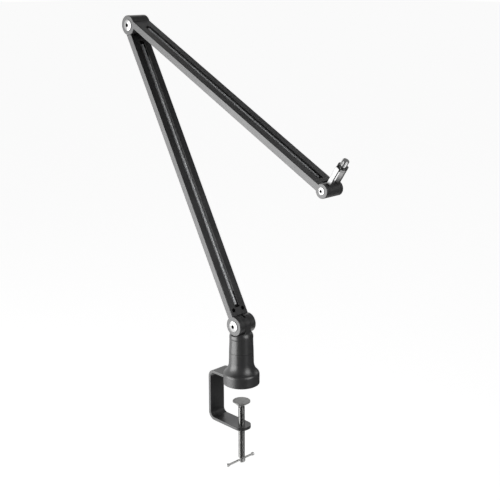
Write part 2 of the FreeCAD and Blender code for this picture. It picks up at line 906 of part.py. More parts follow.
def shoulder_fork():
    cheeks = rounded_hub(d.hub_radius)
    body = rounded_bar(zero, d.shoulder_fork_length)
    pocket = rod("y", d.hub_radius + d.pocket_gap, -half_pocket, half_pocket)
    seam = d.shoulder_fork_length
    tunnel = box((zero, seam + over), (-half_tunnel / 2, half_tunnel / 2), (-half_inner, half_inner))
    notch = box(
        (seam - d.notch_length, seam + over),
        (-half_slot, half_slot),
        (-half_inner, half_depth + over),
    )
    wells = []
    for side in (d.set_screw_offset, -d.set_screw_offset):
        floor = half_depth - d.set_screw_sink - d.set_screw_length
        wells.append(
            rod("z", d.set_screw_radius + d.seat_gap, floor, half_depth + over, d.set_screw_reach, side)
        )
    fork = cut(fuse(cheeks, body), pocket, tunnel, notch, *wells)
    fork = fuse(fork, *prongs(seam, seam + d.prong_length, zero))
    holes = bolt_holes(zero, zero, 1) + prong_holes(seam + d.channel_screw_reach, zero)
    return finish("shoulder_fork", cut(fork, *holes), lower_frame())


def fork_set_screws():
    screws = []
    top = half_depth - d.set_screw_sink
    for side in (d.set_screw_offset, -d.set_screw_offset):
        stem = rod("z", d.set_screw_radius, top - d.set_screw_length, top, d.set_screw_reach, side)
        drive_floor = top - d.set_screw_length * HALF_SHARE
        drive = hexagon("z", d.set_screw_hex, drive_floor, top + over, d.set_screw_reach, side)
        screws.append(cut(stem, drive))
    return finish("fork_set_screws", group(*screws), lower_frame())


def elbow_tongue():
    span = (-half_depth, half_depth)
    pivot = dict(x=d.lower_reach, z=d.lower_rise)
    wide = half_width + over
    body = rounded_bar(lower_end, d.lower_reach)
    clear = rod("y", d.hub_radius + d.hub_gap, -wide, wide, **pivot)
    neck = box((lower_end, d.lower_reach), (-half_knuckle, half_knuckle), span)
    disc = rod("y", d.tongue_radius, -half_knuckle, half_knuckle, **pivot)
    tongue = fuse(cut(body, clear), neck, disc, *prongs(lower_end - d.prong_length, lower_end, zero))
    deep = d.tongue_radius + over
    slot = box(
        (d.lower_reach - d.link_slot_start, d.lower_reach + deep),
        (-half_link, half_link),
        (d.lower_rise - deep, d.lower_rise + deep),
    )
    bush = rod("y", d.bush_radius + d.seat_gap, -wide, wide, **pivot)
    turn = d.lower_angle + d.upper_drop
    pin_x = d.lower_reach - d.elbow_pin_back * cosine(turn) + d.upper_rise * sine(turn)
    pin_z = d.lower_rise - d.elbow_pin_back * sine(turn) - d.upper_rise * cosine(turn)
    pin = rod("y", d.link_pin_radius + d.seat_gap, -wide, wide, pin_x, z=pin_z)
    anchor = lower_end + d.anchor_depth
    room = anchor + d.eye_radius + d.body_gap
    tunnel = box((lower_end - over, room), (-half_tunnel / 2, half_tunnel / 2), (-half_inner, half_inner))
    notch = box(
        (lower_end - over, lower_end + d.notch_length),
        (-half_slot, half_slot),
        (-half_inner, half_depth + over),
    )
    half_pin = d.anchor_pin_length / 2
    anchor_hole = rod("y", d.link_pin_radius + d.seat_gap, -half_pin, half_pin, anchor)
    holes = prong_holes(lower_end - d.channel_screw_reach, zero)
    finish("elbow_tongue", cut(tongue, slot, bush, pin, tunnel, notch, anchor_hole, *holes), lower_frame())
    cross_pin("elbow_pin", d.knuckle_width, pin_x, pin_z, lower_frame())
    cross_pin("lower_anchor_pin", d.anchor_pin_length, anchor, zero, lower_frame())


# upper arm

def elbow_fork():
    high = d.upper_rise + half_depth
    seam = d.elbow_fork_length
    cheeks = rounded_hub(d.hub_radius)
    body = rounded_bar(zero, seam, d.upper_rise)
    pocket = rod("y", d.tongue_radius + d.tongue_gap, -half_pocket, half_pocket)
    mouth = rod("y", d.hub_radius + over, -half_pocket, half_pocket)
    bind(mouth, Angle=d.mouth_span)
    place(mouth, zero, -half_pocket, zero, zero, d.mouth_start, as_size(-QUARTER_TURN))
    span = (d.upper_rise - half_inner, d.upper_rise + half_inner)
    tunnel = box((zero, seam + over), (-half_tunnel / 2, half_tunnel / 2), span)
    half_notch = half_tunnel * HALF_SHARE
    notch = box(
        (seam - d.notch_length, seam + over),
        (-half_notch, half_notch),
        (span[0], high + over),
    )
    fork = fuse(
        cut(fuse(cheeks, body), pocket, mouth, tunnel, notch),
        *prongs(seam, seam + d.prong_length, d.upper_rise),
    )
    holes = bolt_holes(zero, zero, -1) + prong_holes(seam + d.channel_screw_reach, d.upper_rise)
    return finish("elbow_fork", cut(fork, *holes), upper_frame())


def end_fork():
    spot = d.upper_reach
    level = d.upper_rise
    low = level - half_depth
    high = level + half_depth
    half_gap = d.end_pocket_width / 2
    wide = half_width + over
    cheeks = rounded_hub(d.end_hub_radius, spot, level)
    body = rounded_bar(upper_end, spot, level)
    pocket = rod("y", d.end_pocket_radius, -half_gap, half_gap, spot, z=level)
    half_notch = d.end_notch_width / 2
    dent = box((spot - d.end_notch_length, spot), (-half_notch, half_notch), (low - over, high + over))
    anchor = upper_end + d.end_anchor_depth
    span = (level - half_inner, level + half_inner)
    room = anchor + d.eye_radius + d.body_gap
    tunnel = box((upper_end - over, room), (-half_tunnel / 2, half_tunnel / 2), span)
    notch = box(
        (upper_end - over, upper_end + d.notch_length),
        (-half_slot, half_slot),
        (span[0], high + over),
    )
    half_pin = d.anchor_pin_length / 2
    anchor_hole = rod("y", d.link_pin_radius + d.seat_gap, -half_pin, half_pin, anchor, z=level)
    floor = half_width - d.tilt_seat_depth
    bore = rod("y", d.tilt_bolt_radius + d.run_gap, -wide, wide, spot, z=level)
    sleeve_foot = floor - d.tilt_sleeve_length - d.body_gap
    sleeve = rod("y", d.tilt_sleeve_radius + d.run_gap, sleeve_foot, wide, spot, z=level)
    seats = [
        rod("y", d.tilt_seat_radius, floor, wide, spot, z=level),
        rod("y", d.tilt_seat_radius, -wide, -floor, spot, z=level),
    ]
    solid = fuse(cheeks, body, *prongs(upper_end - d.prong_length, upper_end, level))
    holes = prong_holes(upper_end - d.channel_screw_reach, level)
    tools = [pocket, dent, tunnel, notch, anchor_hole, bore, sleeve] + seats + holes
    finish("end_fork", cut(solid, *tools), upper_frame())
    cross_pin("upper_anchor_pin", d.anchor_pin_length, anchor, level, upper_frame())


def tilt_fasteners():
    spot = d.upper_reach
    level = d.upper_rise
    floor = half_width - d.tilt_seat_depth
    head = SimpleNamespace(
        radius=d.tilt_head_radius, height=d.tilt_head_height, dome=d.tilt_head_dome,
        socket=d.tilt_socket_radius, socket_depth=d.tilt_socket_depth,
    )
    shank = SimpleNamespace(radius=d.tilt_bolt_radius, length=floor * 2 - d.body_gap)
    sleeve = SimpleNamespace(
        radius=d.tilt_sleeve_radius, length=d.tilt_sleeve_length, bore=d.tilt_bolt_radius + d.seat_gap
    )
    button_bolt("tilt_bolt", head, shank, -1, floor, spot, level, upper_frame())
    sleeve_nut("tilt_nut", head, sleeve, 1, floor, spot, level, upper_frame())
    inner = d.tilt_bolt_radius + d.prong_gap
    gap_floor = d.drum_width / 2 + d.run_gap
    thick = d.tilt_washer_thickness
    washers("tilt_washers", d.tilt_washer_radius, inner, gap_floor, thick, spot, level, upper_frame())


# microphone mount, drawn with x along the yoke from the tilt pivot

def mic_mount():
    half_drum = d.drum_width / 2
    outer = d.yoke_width / 2
    inner = outer - d.yoke_thickness
    half_leg = d.yoke_leg_width / 2
    wide = half_drum + over
    reach = d.yoke_reach
    bore = d.tilt_bolt_radius + d.run_gap
    pockets = []
    for low, high in ((inner, outer), (-outer, -inner)):
        span = (low - d.run_gap, high + d.run_gap)
        pockets.append(rod("y", d.yoke_eye_radius + d.prong_gap, span[0], span[1]))
        width = half_leg + d.prong_gap
        pockets.append(box((zero, d.drum_radius + over), span, (-width, width)))
    drum = rod("y", d.drum_radius, -half_drum, half_drum)
    finish("tilt_drum", cut(drum, rod("y", bore, -wide, wide), *pockets), mount_frame())
    bend = d.yoke_bend
    turn = bend - d.yoke_thickness
    side = [
        (zero, -outer),
        (reach - bend, -outer, bend, 1),
        (reach, bend - outer),
        (reach, outer - bend, bend, 1),
        (reach - bend, outer),
        (zero, outer),
        (zero, inner),
        (reach - bend, inner, turn, -1),
        (reach - d.yoke_thickness, inner - turn),
        (reach - d.yoke_thickness, turn - inner, turn, -1),
        (reach - bend, -inner),
        (zero, -inner),
    ]
    strap = extruded("XY_Plane", side, d.yoke_leg_width, symmetric=True, soften=d.yoke_soft)
    eyes = [
        rod("y", d.yoke_eye_radius, inner, outer),
        rod("y", d.yoke_eye_radius, -outer, -inner),
    ]
    boss = rod("x", d.yoke_boss_radius, reach - d.yoke_thickness, reach)
    hole = rod("x", d.stud_shank + d.run_gap, reach - d.yoke_thickness - over, reach + over)
    finish("mic_yoke", cut(fuse(strap, boss, *eyes), hole, rod("y", bore, -wide, wide)), mount_frame())
    nut_top = reach - d.yoke_thickness
    nut_low = nut_top - d.stud_nut_height
    stem = rod("x", d.stud_radius, reach, d.stud_tip - d.stud_chamfer)
    shank = rod("x", d.stud_shank, nut_low - d.stud_tail, reach)
    tip = make("Part::Cone")
    bind(tip, Radius1=d.stud_radius, Radius2=d.stud_radius - d.stud_chamfer, Height=d.stud_chamfer)
    place(tip, d.stud_tip - d.stud_chamfer, zero, zero, zero, as_size(QUARTER_TURN), zero)
    finish("mic_stud", fuse(stem, tip, shank), mount_frame())
    nut = hexagon("x", d.stud_nut_radius, nut_low, nut_top)
    thread = rod("x", d.stud_shank + d.seat_gap, nut_low - over, nut_top + over)
    finish("stud_nut", cut(nut, thread), mount_frame())


# clamp screw

def clamp_screw():
    profile = [
        (zero, -d.pad_top),
        (zero, -d.pad_top - d.pad_roof),
        (d.spindle_tip + d.run_gap, -d.pad_top - d.pad_roof),
        (d.spindle_tip + d.run_gap, -d.pad_neck),
        (d.pad_neck_radius, -d.pad_neck),
        (d.pad_neck_radius, -d.pad_root),
        (d.pad_radius, -d.pad_top - d.pad_rim),
        (d.pad_radius, -d.pad_top),
    ]
    finish("pressure_pad", revolved(profile))
    tip = rod("z", d.spindle_tip, -d.pad_neck - over, -d.pad_top - d.pad_roof - d.body_gap)
    stem = rod("z", d.spindle_radius, -d.boss_top - over, -d.pad_neck - d.body_gap)
    boss = revolved([
        (zero, -d.boss_top),
        (zero, -d.boss_bottom),
        (d.boss_radius - d.boss_chamfer, -d.boss_bottom),
        (d.boss_radius, d.boss_chamfer - d.boss_bottom),
        (d.boss_radius, -d.boss_top - d.boss_chamfer),
        (d.boss_radius - d.boss_chamfer, -d.boss_top),
    ])
    wide = d.boss_radius + over
    hole = rod("y", d.bar_radius + d.run_gap, -wide, wide, z=-d.bar_height)
    finish("clamp_spindle", cut(fuse(tip, stem, boss), hole))
    near = d.bar_near - d.ball_radius + d.ball_bite
    far = d.bar_far - d.ball_radius + d.ball_bite
    finish("tommy_bar", rod("y", d.bar_radius, -near, far, z=-d.bar_height))
    ends = []
    for centre, start, end in ((-d.bar_near, -near, zero), (d.bar_far, zero, far)):
        knob = ball(d.ball_radius, zero, centre, -d.bar_height)
        ends.append(cut(knob, rod("y", d.bar_radius + d.seat_gap, start, end, z=-d.bar_height)))
    finish("tommy_balls", group(*ends))


def springs_and_links():
    eye_start = d.shoulder_pin_reach
    begin = d.shoulder_fork_length + d.spring_inset
    end = lower_end - d.spring_inset
    spring("lower_spring", begin, end, d.spring_lift, lower_frame())
    link_rod("lower_pull_rod", eye_start, begin + d.plug_length, 1, zero, lower_frame())
    link_rod("lower_anchor_rod", lower_end + d.anchor_depth, end - d.plug_length, -1, zero, lower_frame())
    begin = d.elbow_fork_length + d.spring_inset
    end = upper_end - d.spring_inset
    spring("upper_spring", begin, end, d.upper_rise + d.spring_lift, upper_frame())
    link_rod("upper_pull_rod", -d.elbow_pin_back, begin + d.plug_length, 1, d.upper_rise, upper_frame())
    anchor = upper_end + d.end_anchor_depth
    link_rod("upper_anchor_rod", anchor, end - d.plug_length, -1, d.upper_rise, upper_frame())


clamp_bracket()
base_bell()
foot_pad()
base_screws()
swivel_bushes()
swivel_head()
swivel_core()
bushes("shoulder_bushes", zero, d.shoulder_height, {})
cross_pin(
    "shoulder_pin", d.knuckle_width, d.shoulder_pin_reach * cosine(d.lower_angle),
    d.shoulder_height + d.shoulder_pin_reach * sine(d.lower_angle), None,
)
channel("lower_channel", d.shoulder_fork_length, lower_end, lower_frame())
channel_screws("lower_channel_screws", d.shoulder_fork_length, lower_end, zero, lower_frame())
shoulder_fork()
fork_set_screws()
elbow_tongue()
pivot_fasteners("shoulder", 1, lower_frame())
bushes("elbow_bushes", d.lower_reach, d.lower_rise, lower_frame())
channel("upper_channel", d.elbow_fork_length, upper_end, upper_frame(zero, d.upper_rise))
channel_screws("upper_channel_screws", d.elbow_fork_length, upper_end, d.upper_rise, upper_frame())
elbow_fork()
end_fork()
pivot_fasteners("elbow", -1, upper_frame())
tilt_fasteners()
mic_mount()
clamp_screw()
springs_and_links()

doc.recompute()
for item in doc.Objects:
    if "Invalid" in item.State or "Error" in item.State:
        raise ValueError(f"{item.Label}: {item.State}")
os.makedirs("parts", exist_ok=True)
for item in finished:
    if item.Shape.isNull() or not item.Shape.isValid():
        raise ValueError(f"{item.Label}: bad shape")
    item.Shape.exportStep(f"parts/{item.Label}.step")
    print(item.Label, len(item.Shape.Solids), round(item.Shape.Volume, 1))
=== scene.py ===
import json
import math

import bmesh
import bpy
from mathutils import Matrix, Vector


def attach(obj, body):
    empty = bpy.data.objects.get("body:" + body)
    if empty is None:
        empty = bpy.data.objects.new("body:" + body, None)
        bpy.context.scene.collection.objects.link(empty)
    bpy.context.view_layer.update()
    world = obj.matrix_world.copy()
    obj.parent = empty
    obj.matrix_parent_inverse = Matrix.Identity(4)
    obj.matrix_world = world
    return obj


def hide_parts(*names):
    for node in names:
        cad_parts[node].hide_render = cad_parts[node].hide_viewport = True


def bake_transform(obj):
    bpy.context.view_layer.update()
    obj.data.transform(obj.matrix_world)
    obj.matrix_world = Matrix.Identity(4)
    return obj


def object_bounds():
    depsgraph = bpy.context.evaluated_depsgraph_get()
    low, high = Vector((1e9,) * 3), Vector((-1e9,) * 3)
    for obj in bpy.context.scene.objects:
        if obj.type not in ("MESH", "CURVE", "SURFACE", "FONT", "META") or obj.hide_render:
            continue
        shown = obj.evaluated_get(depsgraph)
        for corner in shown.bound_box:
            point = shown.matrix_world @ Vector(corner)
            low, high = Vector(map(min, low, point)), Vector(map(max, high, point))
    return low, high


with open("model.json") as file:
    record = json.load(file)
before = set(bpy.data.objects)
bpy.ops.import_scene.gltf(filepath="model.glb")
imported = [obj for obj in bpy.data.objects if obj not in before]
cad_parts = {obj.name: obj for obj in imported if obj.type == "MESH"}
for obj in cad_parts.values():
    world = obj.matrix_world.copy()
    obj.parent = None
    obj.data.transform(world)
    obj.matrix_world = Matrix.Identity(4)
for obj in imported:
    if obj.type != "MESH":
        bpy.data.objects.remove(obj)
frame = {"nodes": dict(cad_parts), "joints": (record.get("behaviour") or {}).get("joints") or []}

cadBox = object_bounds()
nodes = frame["nodes"]
joints = {joint["name"]: joint for joint in frame["joints"]}
shoulderSpot = Vector(joints["shoulder"]["pos_m"])
elbowSpot = Vector(joints["elbow"]["pos_m"])
tiltSpot = Vector(joints["mic_tilt"]["pos_m"])
lowerAngle = math.radians(119)  # lower arm, up from the reach direction
upperAngle = math.radians(-27)
yokeAngle = math.radians(57.5)
fullTurn = 2 * math.pi
pivotAcross, uprightAcross = (1.0, 0.0, 1.0), (1.0, 1.0, 0.0)  # one across each kind of axis
print("frame loaded:", len(nodes), "nodes")


# helpers for node trees

def addNode(tree, kind, **settings):
    node = tree.nodes.new(kind)
    for name, value in settings.items():
        setattr(node, name, value)
    return node


def setInputs(node, **values):
    for name, value in values.items():
        node.inputs[name.replace("_", " ")].default_value = value
    return node


def feed(tree, socket, value):
    if isinstance(value, bpy.types.NodeSocket):
        tree.links.new(value, socket)
    else:
        socket.default_value = value


def calc(tree, operation, *values):
    node = addNode(tree, "ShaderNodeMath", operation=operation)
    for socket, value in zip(node.inputs, values):
        feed(tree, socket, value)
    return node.outputs[0]


def remap(tree, value, fromLow, fromHigh, toLow=0.0, toHigh=1.0):
    node = addNode(tree, "ShaderNodeMapRange")
    setInputs(node, From_Min=fromLow, From_Max=fromHigh, To_Min=toLow, To_Max=toHigh)
    tree.links.new(value, node.inputs["Value"])
    return node.outputs["Result"]


def objectPlace(tree):
    return addNode(tree, "ShaderNodeTexCoord").outputs["Object"]


def noiseAt(tree, place, scale, detail=3.0, roughness=0.55):
    noise = setInputs(addNode(tree, "ShaderNodeTexNoise"), Detail=detail, Roughness=roughness)
    tree.links.new(place, noise.inputs["Vector"])
    feed(tree, noise.inputs["Scale"], scale)
    return noise.outputs[0]


def patches(tree, place, scale, noise):
    # noise cut down to its upper patches
    found = noiseAt(tree, place, scale, noise["detail"], noise["roughness"])
    return remap(tree, found, *noise["range"])


def distanceAcross(tree, place, across):
    # distance from an axis; across is one in each direction that counts
    flat = addNode(tree, "ShaderNodeVectorMath", operation="MULTIPLY")
    feed(tree, flat.inputs[0], place)
    feed(tree, flat.inputs[1], across)
    out = addNode(tree, "ShaderNodeVectorMath", operation="LENGTH")
    tree.links.new(flat.outputs["Vector"], out.inputs[0])
    return out.outputs["Value"]


def blendHeights(tree, first, second, share):
    strong = calc(tree, "MULTIPLY", first, share)
    return calc(tree, "ADD", strong, calc(tree, "MULTIPLY", second, 1 - share))


# shader groups that several finishes share

fineGrain = {"detail": 2.0, "share": 0.6}
smearNoise = {"detail": 5.0, "roughness": 0.6, "range": (0.35, 0.72)}
dustNoise = {"detail": 4.0, "roughness": 0.65, "range": (0.52, 0.78)}
cornerNoise = {"scale": 90.0, "detail": 5.0, "roughness": 0.7, "range": (0.42, 0.70)}
rimNoise = {"scale": 260.0, "detail": 5.0, "roughness": 0.7, "range": (0.48, 0.72)}


def startGroup(name, inputs, outputs):
    group = bpy.data.node_groups.new(name, "ShaderNodeTree")
    for label, value in inputs.items():
        kind = "NodeSocketVector" if isinstance(value, tuple) else "NodeSocketFloat"
        socket = group.interface.new_socket(name=label, in_out="INPUT", socket_type=kind)
        socket.default_value = value
    for label in outputs:
        group.interface.new_socket(name=label, in_out="OUTPUT", socket_type="NodeSocketFloat")
    return group, group.nodes.new("NodeGroupInput"), group.nodes.new("NodeGroupOutput")


def makeCoatGrain():
    # peel of baked powder paint, or the skin of plated steel: fine noise over coarse noise
    group, start, end = startGroup("coatGrain", {"Fine": 2000.0, "Coarse": 420.0}, ("Height",))
    place = objectPlace(group)
    fine = noiseAt(group, place, start.outputs["Fine"], fineGrain["detail"])
    coarse = noiseAt(group, place, start.outputs["Coarse"])
    height = blendHeights(group, fine, coarse, fineGrain["share"])
    group.links.new(height, end.inputs["Height"])
    return group


def makeHandWear():
    # broad smears left by hands, and specks of dust
    scales = {"Smear": 16.0, "Dust": 130.0}
    group, start, end = startGroup("handWear", scales, ("Smears", "Dust"))
    place = objectPlace(group)
    smears = patches(group, place, start.outputs["Smear"], smearNoise)
    dust = patches(group, place, start.outputs["Dust"], dustNoise)
    group.links.new(smears, end.inputs["Smears"])
    group.links.new(dust, end.inputs["Dust"])
    return group


def rubNear(group, start, end, away, noise):
    # full on the edge and gone at its reach, in patches
    near = calc(group, "SUBTRACT", 1.0, calc(group, "DIVIDE", away, start.outputs["Reach"]))
    patchy = patches(group, start.outputs["Place"], noise["scale"], noise)
    rub = calc(group, "MULTIPLY", calc(group, "MAXIMUM", near, 0.0), patchy)
    group.links.new(rub, end.inputs["Rub"])


def makeCornerRub():
    # paint rubbed thin along the four long corners of a bar that lies on the local x axis
    bar = {"Place": (0.0, 0.0, 0.0), "Half Wide": 0.016, "Half Deep": 0.005, "Reach": 0.0011}
    group, start, end = startGroup("cornerRub", bar, ("Rub",))
    parts = addNode(group, "ShaderNodeSeparateXYZ")
    group.links.new(start.outputs["Place"], parts.inputs[0])
    squares = []
    for axis, half in (("Y", "Half Wide"), ("Z", "Half Deep")):
        side = calc(group, "ABSOLUTE", parts.outputs[axis])
        gap = calc(group, "SUBTRACT", side, start.outputs[half])
        squares.append(calc(group, "MULTIPLY", gap, gap))
    away = calc(group, "SQRT", calc(group, "ADD", *squares))
    rubNear(group, start, end, away, cornerNoise)
    return group


def makeRimRub():
    # paint rubbed thin round the rim of a hub whose axis is the local y axis
    hub = {"Place": (0.0, 0.0, 0.0), "Radius": 0.0146, "Reach": 0.0009}
    group, start, end = startGroup("rimRub", hub, ("Rub",))
    out = distanceAcross(group, start.outputs["Place"], pivotAcross)
    away = calc(group, "ABSOLUTE", calc(group, "SUBTRACT", out, start.outputs["Radius"]))
    rubNear(group, start, end, away, rimNoise)
    return group


def makeAxisShade():
    # painted shade: dark inside a radius round an axis, bright outside it, for drive sockets and
    # thread roots
    ring = {"Place": (0.0, 0.0, 0.0), "Across": uprightAcross, "Dark": 0.0026, "Bright": 0.0029}
    group, start, end = startGroup("axisShade", ring, ("Shade",))
    fade = setInputs(addNode(group, "ShaderNodeMapRange"), To_Min=1.0, To_Max=0.0)
    out = distanceAcross(group, start.outputs["Place"], start.outputs["Across"])
    group.links.new(out, fade.inputs["Value"])
    group.links.new(start.outputs["Dark"], fade.inputs["From Min"])
    group.links.new(start.outputs["Bright"], fade.inputs["From Max"])
    group.links.new(fade.outputs["Result"], end.inputs["Shade"])
    return group


coatGrain = makeCoatGrain()
handWear = makeHandWear()
cornerRub = makeCornerRub()
rimRub = makeRimRub()
axisShade = makeAxisShade()


def useGroup(tree, group, **values):
    return setInputs(addNode(tree, "ShaderNodeGroup", node_tree=group), **values)


def startMaterial(name, **values):
    material = bpy.data.materials.new(name)
    material.use_nodes = True
    tree = material.node_tree
    return material, tree, setInputs(tree.nodes["Principled BSDF"], **values)


def mixColours(tree, factor, first, second):
    mix = addNode(tree, "ShaderNodeMix", data_type="RGBA")
    factorSocket, firstSocket, secondSocket = mix.inputs[0], mix.inputs[6], mix.inputs[7]
    feed(tree, firstSocket, first if isinstance(first, bpy.types.NodeSocket) else (*first, 1))
    secondSocket.default_value = (*second, 1)
    tree.links.new(factor, factorSocket)
    return mix.outputs[2]


def bumpFrom(tree, height, shader, finish):
    bump = addNode(tree, "ShaderNodeBump")
    setInputs(bump, Strength=finish["bump"], Distance=finish["peel"])
    tree.links.new(height, bump.inputs["Height"])
    tree.links.new(bump.outputs["Normal"], shader.inputs["Normal"])


def smearRoughness(tree, wear, shader, finish):
    rough = remap(tree, wear.outputs["Smears"], 0, 1, *finish["roughness"])
    tree.links.new(rough, shader.inputs["Roughness"])


def turnedPlace(tree, spot, angle):
    # places measured from spot, with x along a bar that rises at angle
    shift = addNode(tree, "ShaderNodeVectorMath", operation="SUBTRACT")
    shift.inputs[1].default_value = spot
    tree.links.new(objectPlace(tree), shift.inputs[0])
    turn = addNode(tree, "ShaderNodeMapping")
    turn.inputs["Rotation"].default_value = (0, angle, 0)
    tree.links.new(shift.outputs["Vector"], turn.inputs["Vector"])
    return turn.outputs["Vector"]


blackCoat = {
    "colour": (0.034, 0.034, 0.035),
    "dusty": (0.044, 0.044, 0.045),
    "bare": (0.07, 0.07, 0.07),
    "gloss": 1.0,
    "roughness": (0.31, 0.41),
    "grain": (1500.0, 320.0),
    "bump": 0.025,
    "peel": 0.00008,
}


def blackFinish(name, coat, rub=None):
    material, tree, shader = startMaterial(name, Specular_IOR_Level=coat["gloss"])
    grain = useGroup(tree, coatGrain, Fine=coat["grain"][0], Coarse=coat["grain"][1])
    wear = useGroup(tree, handWear)
    colour = mixColours(tree, wear.outputs["Dust"], coat["colour"], coat["dusty"])
    if rub:
        colour = mixColours(tree, rub(tree), colour, coat["bare"])
    tree.links.new(colour, shader.inputs["Base Color"])
    smearRoughness(tree, wear, shader, coat)
    bumpFrom(tree, grain.outputs["Height"], shader, coat)
    return material


def hubFinish(name, spot, radius):
    def rub(tree):
        worn = useGroup(tree, rimRub, Radius=radius)
        tree.links.new(turnedPlace(tree, spot, 0), worn.inputs["Place"])
        return worn.outputs["Rub"]
    return blackFinish(name, blackCoat, rub)


# the groove in the slot takes a lighter colour: painted light on its shaded inner walls
channelCoat = dict(
    blackCoat, colour=(0.028, 0.028, 0.029), dusty=(0.038, 0.038, 0.039), roughness=(0.29, 0.39),
    bump=0.02, drawn=(5.0, 700.0, 700.0), lineShare=0.5,
    slot=(0.0049, 0.0049), groove=(0.40, 0.40, 0.40),
)


def channelFinish(name, spot, angle, coat):
    # extruded bar: faint die lines run its whole length under the paint
    material, tree, shader = startMaterial(name, Specular_IOR_Level=coat["gloss"])
    place = turnedPlace(tree, spot, angle)
    stretch = addNode(tree, "ShaderNodeVectorMath", operation="MULTIPLY")
    stretch.inputs[1].default_value = coat["drawn"]
    tree.links.new(place, stretch.inputs[0])
    lines = noiseAt(tree, stretch.outputs["Vector"], 1.0)
    grain = useGroup(tree, coatGrain, Fine=coat["grain"][0], Coarse=coat["grain"][1])
    wear = useGroup(tree, handWear)
    worn = useGroup(tree, cornerRub)
    tree.links.new(place, worn.inputs["Place"])
    dusty = mixColours(tree, wear.outputs["Dust"], coat["colour"], coat["dusty"])
    parts = addNode(tree, "ShaderNodeSeparateXYZ")
    tree.links.new(place, parts.inputs[0])
    between = calc(tree, "LESS_THAN", calc(tree, "ABSOLUTE", parts.outputs["Y"]), coat["slot"][0])
    below = calc(tree, "LESS_THAN", calc(tree, "ABSOLUTE", parts.outputs["Z"]), coat["slot"][1])
    # painted light: the groove inside the slot takes the lighter groove colour
    grooveLit = mixColours(tree, calc(tree, "MULTIPLY", between, below), dusty, coat["groove"])
    colour = mixColours(tree, worn.outputs["Rub"], grooveLit, coat["bare"])
    tree.links.new(colour, shader.inputs["Base Color"])
    smearRoughness(tree, wear, shader, coat)
    height = blendHeights(tree, lines, grain.outputs["Height"], coat["lineShare"])
    bumpFrom(tree, height, shader, coat)
    return material


def metalFinish(name, metal, shade=None):
    material, tree, shader = startMaterial(name, Metallic=1.0)
    grain = useGroup(tree, coatGrain, Fine=metal["grain"][0], Coarse=metal["grain"][1])
    wear = useGroup(tree, handWear, Smear=metal["smear"], Dust=metal["dust"])
    colour = mixColours(tree, wear.outputs["Dust"], metal["colour"], metal["dull"])
    if shade:
        # painted shade: the darker colour goes where the shade mask is on
        colour = mixColours(tree, shade(tree), colour, metal["paintedShade"])
    tree.links.new(colour, shader.inputs["Base Color"])
    smearRoughness(tree, wear, shader, metal)
    bumpFrom(tree, grain.outputs["Height"], shader, metal)
    return material


def shadedFinish(name, metal, spot, across, radii):
    def shade(tree):
        shaded = useGroup(tree, axisShade, Across=across, Dark=radii[0], Bright=radii[1])
        tree.links.new(turnedPlace(tree, spot, 0), shaded.inputs["Place"])
        return shaded.outputs["Shade"]
    return metalFinish(name, metal, shade)


# painted shade: the strap's inside faces, edges and roots near the drum are darkened, its outside
# left bright
yokeShade = {"inside": 0.0071, "edge": 0.00305, "rootDark": 0.0105, "rootBright": 0.0175}


def strapShadeFinish(name, metal, strap):
    def shade(tree):
        parts = addNode(tree, "ShaderNodeSeparateXYZ")
        tree.links.new(turnedPlace(tree, tiltSpot, yokeAngle), parts.inputs[0])
        across, above = (calc(tree, "ABSOLUTE", parts.outputs[axis]) for axis in "YZ")
        inside = calc(tree, "LESS_THAN", across, strap["inside"])
        edge = calc(tree, "GREATER_THAN", above, strap["edge"])
        root = remap(tree, parts.outputs["X"], strap["rootDark"], strap["rootBright"], 1.0, 0.0)
        return calc(tree, "MAXIMUM", calc(tree, "MAXIMUM", inside, edge), root)
    return metalFinish(name, metal, shade)
